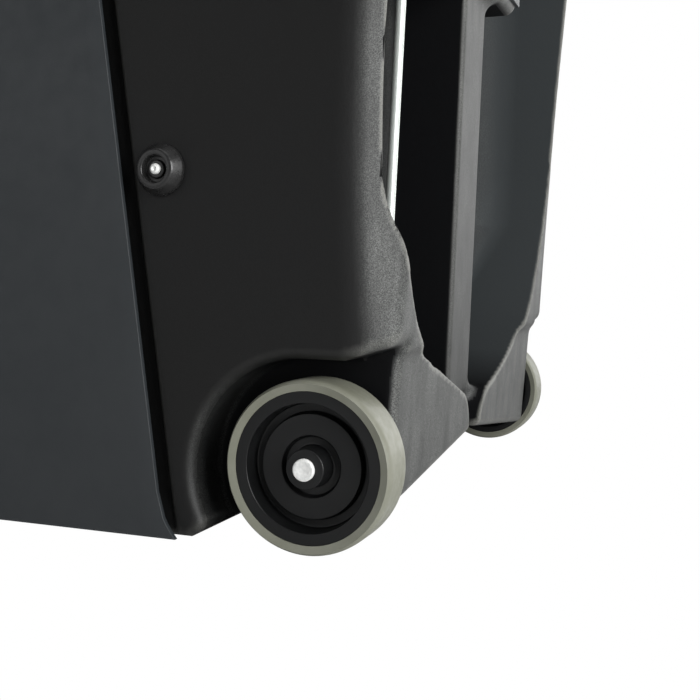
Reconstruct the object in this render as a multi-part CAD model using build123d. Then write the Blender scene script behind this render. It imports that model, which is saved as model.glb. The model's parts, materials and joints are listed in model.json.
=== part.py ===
from build123d import *
import math
import os

# Tennis ball machine: a moulded case on two rear wheels, with a pull-up handle at the back,
# a lift-off ball hopper on top, and a carousel feeding two side-by-side throwing wheels.
# Millimetres. +Z is up, +Y is the rear with the wheels and the handle, -Y is the ball exit,
# +X is the machine's left. The origin is on the floor under the middle of the whole machine.

# ---------------------------------------------------------------- overall sizes
body_half_width = 252.0          # rear moulding, outside face
body_front_y = -185.0            # outside face of the front shell
body_top_z = 490.0               # top edge of both mouldings
body_wall = 5.0                  # rear moulding
shell_wall = 3.2                 # front shell
shell_gap = 0.3                  # between the front shell and the rear moulding inside it
shell_overlap = 12.0             # how far the rear moulding reaches inside the shell
shell_corner_radius = 35.0
floor_clearance = 3.0            # lowest edge of the mouldings above the ground

# The seam between the two mouldings leans forward as it rises.
seam_foot_y = 43.0
seam_lean = 7.9

# The back of the rear moulding leans rearward as it rises.
rear_lean = 3.5
rear_y_low = 176.0
rear_low_z = 110.0
leg_step = 5.0                   # the legs stand this much in front of the upper back
leg_step_z = 114.0

# Each rear side corner is cut by a face that slopes inward, along a gently hollow line.
corner_waist_y = 152.0
corner_waist_z = 250.0
corner_curve_radius = 1116.0
corner_slope = 1.2               # along Y for each unit along X

# ---------------------------------------------------------------- wheels
wheel_radius = 50.0
wheel_width = 32.0
wheel_proud = 1.5                # tyre's outer side beyond the side of the case
wheel_x = body_half_width + wheel_proud - wheel_width / 2
axle_y = 130.0
axle_radius = 5.0
running_gap = 0.05               # radial clearance of every shaft in its bore
tyre_depth = 6.3                 # from the tread's crown down to the hub
hub_radius = wheel_radius - tyre_depth
hub_face = 14.5                  # hub flange face from the middle of the wheel
hub_boss_radius = 11.4
hub_boss_face = 17.2
tyre_crown = 4.8                 # how much lower the tread is at the sides of the tyre
tyre_edge_radius = wheel_radius - tyre_crown
hub_groove_outer = hub_radius - 6.9
hub_groove_inner = hub_radius - 13.2
hub_web_inner = hub_boss_radius + 6.1
axle_cap_radius = 6.4
axle_cap_length = 2.6
well_side_gap = 5.5              # between the tyre's inner side and the leg
well_depth_x = wheel_x - wheel_width / 2 - well_side_gap
well_radius = wheel_radius + 17.0
well_centre_offset = -5.0        # well centre from the axle, along Y
well_centre_z = wheel_radius - 6.0

# ---------------------------------------------------------------- rear channels
leg_bottom_z = 20.0              # under the outer end of each leg
leg_bottom_slope = 0.10          # how fast a leg's underside rises towards the middle
channel_floor_y = 100.0
left_rib_width = 12.0
right_rib_width = 30.0
left_arc_radius = 114.0
left_arc_z = 217.0               # height where the channel edge starts to curve inward
right_arc_radius = 292.0
right_arc_z = 290.0
channel_kink_x = 148.0
channel_inner_z = 67.0
slot_half_width = 18.0
rib_half_width = 32.0
rib_rear_y = 158.0
rib_bottom_z = 66.0
console_half_width = 84.0
console_height = 115.0
console_bottom_z = body_top_z - console_height
console_rear_y = 176.0

# ---------------------------------------------------------------- handle
rod_radius = 3.5
rod_x = 100.0
rod_anchor_y = 131.0             # the rods pass this point ...
rod_anchor_z = 300.0             # ... at this height
handle_lean = 2.0
rod_low = -178.0                 # along the rod, from the anchor
grip_rise = 46.0                 # bar of the grip above the top of the case
rod_high = body_top_z + grip_rise - rod_anchor_z
rod_sliding_gap = 0.06
guide_height = 20.0
guide_high_z = body_top_z - guide_height - 8.0
guide_low_z = guide_high_z - 50.0
guide_half_width = 12.0
grip_radius = 12.5
grip_half_length = 70.0
stop_radius = 6.5
stop_length = 8.0

# ---------------------------------------------------------------- side bumpers
bumper_y = 37.0
bumper_z = 217.0
bumper_base_radius = 15.0
bumper_face_radius = 11.0
bumper_height = 9.0
bumper_recess_radius = 8.0
bumper_recess_depth = 4.5
bumper_collar_radius = 5.0
bumper_collar_height = 1.5
screw_head_radius = 3.3
screw_shank_radius = 2.5

# ---------------------------------------------------------------- base
base_z = 31.0                    # underside of the steel base plate
base_thickness = 3.0
base_top_z = base_z + base_thickness
foot_radius = 18.0
foot_x = body_half_width - 62.0
foot_y = body_front_y + 35.0

# ---------------------------------------------------------------- launcher
launch_y = -40.0                 # yaw axis and pitch axis both pass here
launch_z = 215.0
throw_wheel_radius = 60.0
throw_wheel_width = 40.0
throw_nip = 52.0                 # between the two tyres, less than a ball
throw_wheel_x = throw_wheel_radius + throw_nip / 2
throw_motor_radius = 25.0
throw_motor_length = 80.0
throw_shaft_radius = 4.0
cradle_plate_z = 172.0
cradle_thickness = 4.0
arm_x = throw_wheel_x + throw_wheel_radius + 3.0   # inner face of the cradle's side arms
upright_x = arm_x + cradle_thickness + 4.0         # inner face of the platform's uprights
upright_thickness = 4.0
platform_half_depth = 30.0
platform_z = 60.0
pivot_radius = 6.0
guide_inner_radius = 36.0
guide_wall = 2.0

# ---------------------------------------------------------------- ball feed
feed_y = -42.0                   # carousel axis
bowl_inner_radius = 131.0
bowl_wall = 3.0
bowl_depth = 85.0
bowl_floor_z = body_top_z - bowl_depth
pocket_count = 5
pocket_radius = 37.0
rotor_clearance = 3.0            # between the rotor and the wall of the bowl
rotor_radius = bowl_inner_radius - rotor_clearance
pocket_pitch_radius = rotor_radius - pocket_radius + 1.0
rotor_height = 56.0
feed_shaft_radius = 4.0
drop_inner_radius = pocket_radius
drop_wall = 2.0
drop_end_z = launch_z + guide_inner_radius + 5.0
guide_rear_y = feed_y + pocket_pitch_radius + 34.0
deck_thickness = 6.0
deck_top_z = body_top_z + deck_thickness
deck_rear_y = 97.0

# ---------------------------------------------------------------- hopper
hopper_base_half_x = body_half_width - 62.0
hopper_base_rear_y = deck_rear_y - 5.0
hopper_top_half_x = body_half_width
hopper_top_rear_y = deck_rear_y + 20.0
hopper_height = 194.0
hopper_top_z = deck_top_z + hopper_height
hopper_wall = 3.0
hopper_rim = 8.0

# ---------------------------------------------------------------- ball window
window_half_width = 90.0
window_low_z = 165.0
window_high_z = 365.0
bezel_width = 12.0

# ---------------------------------------------------------------- control panel
panel_half_width = 80.0
panel_margin = 6.0               # round the panel, on the console
panel_low_z = console_bottom_z + panel_margin + 1.0
panel_high_z = body_top_z - panel_margin
panel_thickness = 3.0
panel_face_y = console_rear_y + panel_thickness
knob_radius = 12.0
knob_height = 12.0
knob_z = panel_low_z + 21.0
knob_pitch = 48.0
button_radius = 6.0
button_z = panel_low_z + 49.0
button_pitch = 34.0
button_height = 4.0
socket_x = 62.0
socket_radius = 8.0
rocker_x = 52.0
rocker_z = panel_low_z + 79.0
rocker_half_width = 6.0
rocker_half_height = 10.0

# ---------------------------------------------------------------- battery
battery_width = 76.0
battery_x = body_half_width - body_wall - battery_width - 3.0
battery_length = 181.0
battery_height = 167.0
battery_front_y = -150.0
strap_thickness = 1.5
strap_width = 25.0


# ================================================================ shape helpers
cut_reach = body_half_width + 60.0   # cutting shapes go out past both sides


def block(x0, x1, y0, y1, z0, z1):
    """A box given by its low and high limits."""
    centre = Pos((x0 + x1) / 2, (y0 + y1) / 2, (z0 + z1) / 2)
    return centre * Box(x1 - x0, y1 - y0, z1 - z0)


def bar_x(radius, x0, x1, y, z):
    """A round bar along X."""
    return Pos((x0 + x1) / 2, y, z) * Rot(0, 90, 0) * Cylinder(radius, x1 - x0)


def bar_y(radius, y0, y1, x, z):
    """A round bar along Y."""
    return Pos(x, (y0 + y1) / 2, z) * Rot(90, 0, 0) * Cylinder(radius, y1 - y0)


def bar_z(radius, z0, z1, x, y):
    """A round bar along Z."""
    return Pos(x, y, (z0 + z1) / 2) * Cylinder(radius, z1 - z0)


def side_prism(points, x0, x1):
    """A polygon in the YZ plane, extruded along X."""
    face = make_face(Polyline(*[(0, y, z) for y, z in points], close=True))
    return Pos(x0, 0, 0) * extrude(face, amount=x1 - x0, dir=(1, 0, 0))


def rear_prism(outline, y0, y1):
    """Edges drawn in the XZ plane, extruded along Y."""
    return Pos(0, y0, 0) * extrude(make_face(outline), amount=y1 - y0, dir=(0, 1, 0))


def mirror_x(shape):
    return mirror(shape, about=Plane.YZ)


def both_sides(shape):
    """The shape and its copy on the other side, as separate solids in one node."""
    return Compound(children=[shape, mirror_x(shape)])


def lean_place(shape):
    """Handle pieces are drawn upright about the rod anchor and then leaned rearward."""
    return Pos(0, rod_anchor_y, rod_anchor_z) * Rot(-handle_lean, 0, 0) * shape


def seam_y(z):
    return seam_foot_y - math.tan(math.radians(seam_lean)) * z


def rear_y(z):
    return rear_y_low + math.tan(math.radians(rear_lean)) * (z - rear_low_z)


def leg_y(z):
    return rear_y(z) - leg_step


rear_extreme_y = rear_y(body_top_z)
axle_z = wheel_radius
shell_half_width = body_half_width + shell_gap + shell_wall


# ================================================================ rear moulding
def channel_outline(rib_width, arc_radius, arc_z):
    """One channel as seen from behind: straight, then sweeping in to the slot."""
    outer_x = body_half_width - rib_width
    arc_centre_x = outer_x - arc_radius
    turn = math.acos((channel_kink_x - arc_centre_x) / arc_radius)
    kink_z = arc_z - arc_radius * math.sin(turn)
    middle_point = (
        arc_centre_x + arc_radius * math.cos(turn / 2),
        0,
        arc_z - arc_radius * math.sin(turn / 2),
    )
    top_z = body_top_z + 10
    start = (outer_x, 0, arc_z)
    kink = (channel_kink_x, 0, kink_z)
    curve = ThreePointArc(start, middle_point, kink)
    rest = Polyline(
        kink,
        (slot_half_width, 0, channel_inner_z),
        (0, 0, channel_inner_z),
        (0, 0, top_z),
        (outer_x, 0, top_z),
        start,
    )
    return [curve, rest]


def leg_underside(x):
    return leg_bottom_z + leg_bottom_slope * (well_depth_x - x)


def well_space(grow, x_inner):
    """Room for one wheel, open to the side, the back and the ground."""
    centre_y = axle_y + well_centre_offset
    radius = well_radius + grow
    high_z = well_centre_z + radius
    far_x = body_half_width + 20
    round_part = bar_x(radius, x_inner, far_x, centre_y, well_centre_z)
    far_y = rear_extreme_y + 20
    slope_y = axle_y + 20
    back_part = side_prism(
        [
            (centre_y, -60),
            (far_y, -60),
            (far_y, high_z + 0.33 * (far_y - slope_y)),
            (slope_y, high_z),
            (centre_y, high_z),
        ],
        x_inner, far_x,
    )
    return round_part + back_part


def corner_y(z):
    """Where the side of the case ends and its sloping corner face begins."""
    rise = math.sqrt(corner_curve_radius**2 - (z - corner_waist_z) ** 2)
    return corner_waist_y + corner_curve_radius - rise


def corner_cut():
    """What the sloping corner face takes off the case."""
    outside = 10.0
    low_z = -20.0
    high_z = body_top_z + 20.0
    far_y = rear_extreme_y + 40.0
    edge = ThreePointArc(
        (0, corner_y(low_z), low_z),
        (0, corner_waist_y, corner_waist_z),
        (0, corner_y(high_z), high_z),
    )
    rest = Polyline(
        (0, corner_y(high_z), high_z), (0, far_y, high_z), (0, far_y, low_z), (0, corner_y(low_z), low_z)
    )
    reach = 110.0 * math.hypot(1, corner_slope)
    sheared = extrude(make_face([edge, rest]), amount=reach, dir=(-1, corner_slope, 0))
    return Pos(body_half_width + outside, -corner_slope * outside, 0) * sheared


def rear_body_outer():
    """Case, legs and ribs before hollowing."""
    front_low = seam_y(floor_clearance) - shell_overlap
    front_high = seam_y(body_top_z) - shell_overlap
    lip_y = 52.0
    toe_y = 90.0
    points = [
        (front_low, floor_clearance),
        (lip_y, floor_clearance),
        (66, 15),
        (toe_y, leg_bottom_z - 2),
        (leg_y(leg_bottom_z) - 8, leg_bottom_z),
        (leg_y(leg_bottom_z + 10), leg_bottom_z + 10),
        (leg_y(leg_step_z), leg_step_z),
        (rear_y(leg_step_z + leg_step), leg_step_z + leg_step),
        (rear_extreme_y, body_top_z),
        (front_high, body_top_z),
    ]
    case = side_prism(points, -body_half_width, body_half_width)
    return case - corner_cut() - mirror_x(corner_cut())


def make_rear_body():
    case = rear_body_outer()
    far_y = rear_extreme_y + 20
    left_outline = channel_outline(left_rib_width, left_arc_radius, left_arc_z)
    right_outline = channel_outline(right_rib_width, right_arc_radius, right_arc_z)
    left_channel = rear_prism(left_outline, channel_floor_y, far_y)
    right_channel = mirror_x(rear_prism(right_outline, channel_floor_y, far_y))
    slot = block(
        -slot_half_width, slot_half_width,
        channel_floor_y, far_y,
        -1, channel_inner_z + 1,
    )
    beyond_x = body_half_width + 10
    under_outline = Polyline(
        (0, 0, -1),
        (0, 0, leg_underside(0)),
        (beyond_x, 0, leg_underside(beyond_x)),
        (beyond_x, 0, -1),
        (0, 0, -1),
    )
    under_leg = rear_prism([under_outline], channel_floor_y, far_y)
    case = case - left_channel - right_channel - slot - under_leg - mirror_x(under_leg)
    rib = block(
        -rib_half_width, rib_half_width,
        channel_floor_y - 1, rib_rear_y,
        rib_bottom_z, console_bottom_z + 1,
    )
    console = block(
        -console_half_width, console_half_width,
        channel_floor_y - 1, console_rear_y,
        console_bottom_z, body_top_z,
    )
    case = case + rib + console

    well = well_space(0, well_depth_x)
    case = case - well - mirror_x(well)

    cavity = block(
        -body_half_width + body_wall, body_half_width - body_wall,
        -200, channel_floor_y - body_wall,
        base_z, body_top_z + 1,
    )
    lined_well = well_space(body_wall, well_depth_x - body_wall)
    cavity = cavity - lined_well - mirror_x(lined_well)
    pocket_near_x = slot_half_width + body_wall
    pocket_far_x = well_depth_x - body_wall
    pocket_top_z = channel_inner_z - body_wall
    pocket_outline = Polyline(
        (pocket_near_x, 0, leg_underside(pocket_near_x) + body_wall),
        (pocket_near_x, 0, pocket_top_z),
        (pocket_far_x, 0, pocket_top_z),
        (pocket_far_x, 0, leg_underside(pocket_far_x) + body_wall),
        (pocket_near_x, 0, leg_underside(pocket_near_x) + body_wall),
    )
    leg_pocket = rear_prism(
        [pocket_outline],
        channel_floor_y - body_wall - 1, leg_y(leg_bottom_z) - body_wall - 3,
    )
    console_pocket = block(
        -console_half_width + body_wall, console_half_width - body_wall,
        channel_floor_y - body_wall - 1, console_rear_y - body_wall,
        console_bottom_z + body_wall, body_top_z - body_wall,
    )
    panel_hole = block(
        -panel_half_width + 6, panel_half_width - 6,
        console_rear_y - body_wall - 1, console_rear_y + 1,
        panel_low_z + 6, panel_high_z - 6,
    )
    case = case - cavity - leg_pocket - mirror_x(leg_pocket) - console_pocket - panel_hole

    axle_bore = bar_x(
        axle_radius + running_gap, -well_depth_x - 1, well_depth_x + 1, axle_y, axle_z
    )
    bumper_hole = bar_x(
        screw_shank_radius + running_gap,
        -body_half_width - 1, body_half_width + 1, bumper_y, bumper_z,
    )
    return case - axle_bore - bumper_hole


# ================================================================ front shell
def rounded_case(half_width, front_y, rear_limit, radius, low_z, high_z):
    """A block with its two front corners rounded."""
    case = block(-half_width, half_width, front_y, rear_limit, low_z, high_z)
    front_edges = [
        edge for edge in case.edges().filter_by(Axis.Z) if edge.center().Y < front_y + 1
    ]
    return fillet(front_edges, radius)


def make_front_shell():
    outer = rounded_case(
        shell_half_width, body_front_y, seam_foot_y + 10,
        shell_corner_radius, floor_clearance, body_top_z,
    )
    inner = rounded_case(
        shell_half_width - shell_wall, body_front_y + shell_wall, seam_foot_y + 20,
        shell_corner_radius - shell_wall, floor_clearance - 5, body_top_z + 5,
    )
    behind_seam = side_prism(
        [
            (seam_y(-20), -20),
            (200, -20),
            (200, body_top_z + 20),
            (seam_y(body_top_z + 20), body_top_z + 20),
        ],
        -cut_reach, cut_reach,
    )
    window = block(
        -window_half_width, window_half_width,
        body_front_y - 5, body_front_y + 20,
        window_low_z, window_high_z,
    )
    shell = outer - inner - behind_seam - window
    for screw_y in base_screw_places():
        shell = shell - bar_x(
            screw_shank_radius + running_gap, -cut_reach, cut_reach, screw_y, base_screw_z
        )
    return shell


def make_window_bezel():
    frame = block(
        -window_half_width - bezel_width, window_half_width + bezel_width,
        body_front_y - 3, body_front_y,
        window_low_z - bezel_width, window_high_z + bezel_width,
    )
    throat = block(
        -window_half_width + 2, window_half_width - 2,
        body_front_y - 4, body_front_y + 12,
        window_low_z + 2, window_high_z - 2,
    )
    sleeve = block(
        -window_half_width + 0.2, window_half_width - 0.2,
        body_front_y, body_front_y + 11,
        window_low_z + 0.2, window_high_z - 0.2,
    )
    return frame + sleeve - throat


# ================================================================ base
base_screw_z = 17.0


def base_screw_places():
    """Screw positions along each side of the case."""
    return [-140.0 + 60.0 * step for step in range(3)]


def make_base_plate():
    half_x = body_half_width - body_wall - 0.5
    front_y = body_front_y + shell_wall + 0.3
    plate = block(-half_x, half_x, front_y, channel_floor_y - body_wall - 0.5, base_z, base_top_z)
    corner = shell_corner_radius
    for side in (-1, 1):
        well_x = well_depth_x - body_wall - 1
        notch_y = axle_y + well_centre_offset - well_radius - body_wall - 1
        low_x, high_x = sorted((side * well_x, side * (half_x + 1)))
        plate = plate - block(low_x, high_x, notch_y, 200, 0, 100)
        low_x, high_x = sorted((side * (half_x - corner + 8), side * (half_x + 1)))
        plate = plate - block(low_x, high_x, front_y - 1, front_y + corner - 8, 0, 100)
    flange_half = half_x - corner - 11.5
    front_flange = block(
        -flange_half, flange_half, front_y, front_y + base_thickness, base_screw_z - 10, base_top_z
    )
    flange_x = body_half_width
    rear_limit = seam_y(base_z) - shell_overlap - 1
    side_flange = block(
        flange_x - base_thickness, flange_x, front_y + corner, rear_limit,
        base_screw_z - 10, base_top_z,
    )
    side_web = block(
        half_x - 2, flange_x, front_y + corner, rear_limit, base_z, base_top_z
    )
    plate = plate + front_flange + side_flange + side_web
    plate = plate + mirror_x(side_flange + side_web)
    for screw_y in base_screw_places():
        plate = plate - bar_x(
            screw_shank_radius + running_gap, -cut_reach, cut_reach, screw_y, base_screw_z
        )
    plate = plate - bar_z(sweep_shaft_radius + 1, 0, 100, 0, launch_y)
    return plate


def make_base_screws():
    screws = []
    for screw_y in base_screw_places():
        head = bar_x(screw_head_radius, shell_half_width, shell_half_width + 2, screw_y, base_screw_z)
        shank = bar_x(
            screw_shank_radius, body_half_width - base_thickness - 3, shell_half_width + 0.5,
            screw_y, base_screw_z,
        )
        screws.append(head + shank)
        screws.append(mirror_x(head + shank))
    return Compound(children=screws)


def make_front_feet():
    foot = Pos(foot_x, foot_y, base_z / 2) * Cone(foot_radius - 3, foot_radius, base_z)
    return both_sides(foot)


# ================================================================ wheels
def revolve_about_x(points_or_edges, x, y, z):
    """A profile in the plane of X (first) and radius (second), turned about X."""
    return Pos(x, y, z) * revolve(make_face(points_or_edges), Axis.X, 360)


def make_wheel_hub():
    back_face = -hub_face
    points = [
        (-wheel_width / 2, axle_radius + running_gap),
        (hub_boss_face, axle_radius + running_gap),
        (hub_boss_face, hub_boss_radius),
        (3, hub_boss_radius),
        (3, hub_web_inner),
        (7.5, hub_web_inner),
        (7.5, hub_groove_inner),
        (1, hub_groove_inner),
        (1, hub_groove_outer),
        (hub_face, hub_groove_outer),
        (hub_face, hub_radius),
        (back_face, hub_radius),
        (back_face, hub_radius - 5.7),
        (-4, hub_radius - 5.7),
        (-4, hub_boss_radius + 2.6),
        (-wheel_width / 2, hub_boss_radius + 2.6),
    ]
    return revolve_about_x(Polyline(*points, close=True), wheel_x, axle_y, axle_z)


def make_wheel_tyre():
    half = wheel_width / 2
    tread = ThreePointArc((half, tyre_edge_radius), (0, wheel_radius), (-half, tyre_edge_radius))
    rest = Polyline(
        (-half, tyre_edge_radius),
        (-hub_face, hub_radius),
        (hub_face, hub_radius),
        (half, tyre_edge_radius),
    )
    return revolve_about_x([tread, rest], wheel_x, axle_y, axle_z)


axle_end_x = wheel_x + hub_boss_face + 0.2


def make_wheel_axle():
    return bar_x(
        axle_radius, -axle_end_x - axle_cap_length + 1, axle_end_x + axle_cap_length - 1,
        axle_y, axle_z,
    )


def make_axle_caps():
    cap = bar_x(axle_cap_radius, axle_end_x, axle_end_x + axle_cap_length, axle_y, axle_z)
    socket = bar_x(
        axle_radius + 0.02, axle_end_x - 1, axle_end_x + axle_cap_length - 1, axle_y, axle_z
    )
    return both_sides(cap - socket)


def make_axle_spacers():
    spacer_end = wheel_x - wheel_width / 2 - 0.3
    spacer = bar_x(9, well_depth_x, spacer_end, axle_y, axle_z)
    return both_sides(
        spacer - bar_x(axle_radius + 0.02, well_depth_x - 1, spacer_end + 1, axle_y, axle_z)
    )


# ================================================================ bumpers
def make_side_bumpers():
    cone = (
        Pos(body_half_width + bumper_height / 2, bumper_y, bumper_z)
        * Rot(0, 90, 0)
        * Cone(bumper_base_radius, bumper_face_radius, bumper_height)
    )
    face_x = body_half_width + bumper_height
    recess = bar_x(
        bumper_recess_radius, face_x - bumper_recess_depth, face_x + 1, bumper_y, bumper_z
    )
    collar = bar_x(
        bumper_collar_radius, face_x - bumper_recess_depth - 0.5,
        face_x - bumper_recess_depth + bumper_collar_height, bumper_y, bumper_z,
    )
    hole = bar_x(
        screw_shank_radius + running_gap, body_half_width - 1, face_x + 1, bumper_y, bumper_z
    )
    return both_sides(cone - recess + collar - hole)


def make_bumper_screws():
    seat_x = body_half_width + bumper_height - bumper_recess_depth + bumper_collar_height
    head = bar_x(screw_head_radius, seat_x, seat_x + 2.5, bumper_y, bumper_z)
    shank = bar_x(
        screw_shank_radius, body_half_width - body_wall - 4, seat_x + 0.5, bumper_y, bumper_z
    )
    return both_sides(head + shank)


# ================================================================ handle
def make_handle_rods():
    """One bent rod: two long legs joined by a straight top bar."""
    leg = bar_z(rod_radius, rod_low, rod_high, rod_x, 0)
    corner = Pos(rod_x, 0, rod_high) * Sphere(rod_radius)
    top = bar_x(rod_radius, -rod_x, rod_x, 0, rod_high)
    return lean_place(leg + mirror_x(leg) + corner + mirror_x(corner) + top)


def make_handle_grip():
    grip = bar_x(grip_radius, -grip_half_length, grip_half_length, 0, rod_high)
    end_edges = [edge for edge in grip.edges() if abs(abs(edge.center().X) - grip_half_length) < 0.1]
    grip = fillet(end_edges, 4)
    bore = bar_x(rod_radius + 0.02, -rod_x, rod_x, 0, rod_high)
    return lean_place(grip - bore)


def make_handle_stops():
    stop = bar_z(stop_radius, rod_low, rod_low + stop_length, rod_x, 0)
    stop = stop - bar_z(rod_radius + 0.02, rod_low - 1, rod_low + stop_length + 1, rod_x, 0)
    return lean_place(stop + mirror_x(stop))


def make_handle_guides(low_z):
    """A pair of blocks on the channel floors that the rods slide in."""
    rod_here_y = rod_anchor_y + math.tan(math.radians(handle_lean)) * (low_z - rod_anchor_z)
    guide = block(
        rod_x - guide_half_width, rod_x + guide_half_width,
        channel_floor_y, rod_here_y + rod_radius + 6,
        low_z, low_z + guide_height,
    )
    bore = lean_place(bar_z(rod_radius + rod_sliding_gap, rod_low, rod_high, rod_x, 0))
    return both_sides(guide - bore)


# ================================================================ ball feed
def make_top_deck():
    deck = rounded_case(
        shell_half_width, body_front_y, deck_rear_y, shell_corner_radius, body_top_z, deck_top_z
    )
    ring = bar_z(bowl_inner_radius - 0.5, deck_top_z - 1, deck_top_z + 6, 0, feed_y)
    hole = bar_z(bowl_inner_radius - 4, body_top_z - 1, deck_top_z + 7, 0, feed_y)
    return deck + ring - hole


def make_carousel_bowl():
    outer_radius = bowl_inner_radius + bowl_wall
    bowl = bar_z(outer_radius, bowl_floor_z, body_top_z, 0, feed_y)
    hollow = bar_z(bowl_inner_radius, bowl_floor_z + 3, body_top_z + 1, 0, feed_y)
    outlet = bar_z(
        drop_inner_radius, bowl_floor_z - 1, bowl_floor_z + 4, 0, feed_y + pocket_pitch_radius
    )
    shaft_hole = bar_z(feed_shaft_radius + 1, bowl_floor_z - 1, bowl_floor_z + 4, 0, feed_y)
    return bowl - hollow - outlet - shaft_hole


def make_carousel():
    low_z = bowl_floor_z + 4
    high_z = low_z + rotor_height
    rotor = bar_z(rotor_radius, low_z, high_z, 0, feed_y)
    for number in range(pocket_count):
        angle = math.radians(90 + 360 * number / pocket_count)
        rotor = rotor - bar_z(
            pocket_radius, low_z - 1, high_z + 1,
            pocket_pitch_radius * math.cos(angle),
            feed_y + pocket_pitch_radius * math.sin(angle),
        )
    cone = Pos(0, feed_y, high_z + 9) * Cone(48, 16, 18)
    bore = bar_z(feed_shaft_radius + running_gap, low_z - 1, low_z + 30, 0, feed_y)
    return rotor + cone - bore


def make_carousel_gearmotor():
    gearbox = bar_z(20, bowl_floor_z - 24, bowl_floor_z, 0, feed_y)
    motor = bar_z(12, bowl_floor_z - 52, bowl_floor_z - 24, 0, feed_y + 6)
    shaft = bar_z(feed_shaft_radius, bowl_floor_z - 1, bowl_floor_z + 28, 0, feed_y)
    return gearbox + motor + shaft


def make_drop_tube():
    centre_y = feed_y + pocket_pitch_radius
    tube = bar_z(drop_inner_radius + drop_wall, drop_end_z, bowl_floor_z, 0, centre_y)
    return tube - bar_z(drop_inner_radius, drop_end_z - 1, bowl_floor_z + 1, 0, centre_y)


# ================================================================ sweep platform
sweep_shaft_radius = 6.0


def make_sweep_bearing():
    ring = bar_z(78, base_top_z, platform_z - 0.2, 0, launch_y)
    return ring - bar_z(68, base_top_z - 1, platform_z + 1, 0, launch_y)


def make_sweep_gearmotor():
    case = bar_z(32, base_top_z, platform_z - 3, 0, launch_y)
    shaft = bar_z(sweep_shaft_radius, platform_z - 4, platform_z + 8, 0, launch_y)
    return case + shaft


def make_sweep_platform():
    top_z = platform_z + 4
    outer_x = upright_x + upright_thickness
    plate = block(
        -outer_x, outer_x, launch_y - platform_half_depth, launch_y + platform_half_depth,
        platform_z, top_z,
    )
    plate = plate + bar_z(85, platform_z, top_z, 0, launch_y)
    upright = block(
        upright_x, outer_x, launch_y - 25, launch_y + 25, platform_z, launch_z + 20
    )
    boss = bar_z(14, top_z, top_z + 6, 0, launch_y)
    platform = plate + upright + mirror_x(upright) + boss
    platform = platform - bar_z(
        sweep_shaft_radius + running_gap, platform_z - 1, top_z + 7, 0, launch_y
    )
    return platform - bar_x(
        pivot_radius + 0.02, -outer_x - 1, outer_x + 1, launch_y, launch_z
    )


def make_pivot_pin():
    outer_x = upright_x + upright_thickness
    pin = bar_x(pivot_radius, arm_x, outer_x, launch_y, launch_z)
    return pin + bar_x(pivot_radius + 3, outer_x, outer_x + 2, launch_y, launch_z)


def make_elevation_gearmotor():
    outer_x = upright_x + upright_thickness
    case = block(
        -outer_x - 26, -outer_x, launch_y - 22, launch_y + 22, launch_z - 28, launch_z + 18
    )
    motor = bar_x(15, -outer_x - 60, -outer_x - 26, launch_y, launch_z - 10)
    shaft = bar_x(pivot_radius, -outer_x - 1, -arm_x, launch_y, launch_z)
    return case + motor + shaft


# ================================================================ cradle and throwing wheels
def make_cradle_frame():
    top_z = cradle_plate_z + cradle_thickness
    outer_x = arm_x + cradle_thickness
    plate = block(
        -outer_x, outer_x, launch_y - 24, launch_y + 24, cradle_plate_z, top_z
    )
    arm = block(arm_x, outer_x, launch_y - 20, launch_y + 20, cradle_plate_z, launch_z + 14)
    frame = plate + arm + mirror_x(arm)
    for side in (-1, 1):
        centre_x = side * throw_wheel_x
        frame = frame + bar_z(throw_motor_radius + 6, cradle_plate_z, top_z, centre_x, launch_y)
        frame = frame - bar_z(
            throw_shaft_radius + 2, cradle_plate_z - 1, top_z + 1, centre_x, launch_y
        )
    return frame - bar_x(
        pivot_radius + running_gap, -outer_x - 1, outer_x + 1, launch_y, launch_z
    )


def make_ball_guide():
    """A trough that carries each ball from the drop tube to the nip of the wheels."""
    outer = guide_inner_radius + guide_wall
    front_y = launch_y - 18
    trough = bar_y(outer, front_y, guide_rear_y, 0, launch_z)
    trough = trough - bar_y(guide_inner_radius, front_y - 1, guide_rear_y + 1, 0, launch_z)
    keep = block(-22, 22, front_y, launch_y + 40, launch_z - 60, launch_z - 20)
    wide = block(-60, 60, launch_y + 40, guide_rear_y, launch_z - 60, launch_z - 4)
    trough = trough & (keep + wide)
    foot_top = launch_z - guide_inner_radius - 0.5
    foot = block(
        -10, 10, launch_y - 18, launch_y + 18, cradle_plate_z + cradle_thickness, foot_top
    )
    return trough + foot


def make_throw_motor(side):
    return bar_z(
        throw_motor_radius, cradle_plate_z - throw_motor_length, cradle_plate_z,
        side * throw_wheel_x, launch_y,
    ) - bar_z(
        throw_shaft_radius + running_gap, cradle_plate_z - 20, cradle_plate_z + 1,
        side * throw_wheel_x, launch_y,
    )


def make_throw_hub(side):
    low_z = launch_z - throw_wheel_width / 2
    high_z = launch_z + throw_wheel_width / 2
    centre_x = side * throw_wheel_x
    disc = bar_z(throw_wheel_radius - 8, low_z, high_z, centre_x, launch_y)
    top_recess = bar_z(throw_wheel_radius - 14, launch_z + 4, high_z + 1, centre_x, launch_y)
    low_recess = bar_z(throw_wheel_radius - 14, low_z - 1, launch_z - 4, centre_x, launch_y)
    boss = bar_z(13, low_z, high_z - 4, centre_x, launch_y)
    shaft = bar_z(throw_shaft_radius, cradle_plate_z - 18, low_z + 1, centre_x, launch_y)
    return disc - top_recess - low_recess + boss + shaft


def make_throw_tyre(side):
    low_z = launch_z - throw_wheel_width / 2
    high_z = launch_z + throw_wheel_width / 2
    centre_x = side * throw_wheel_x
    tyre = bar_z(throw_wheel_radius, low_z, high_z, centre_x, launch_y)
    return tyre - bar_z(throw_wheel_radius - 8, low_z - 1, high_z + 1, centre_x, launch_y)


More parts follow.
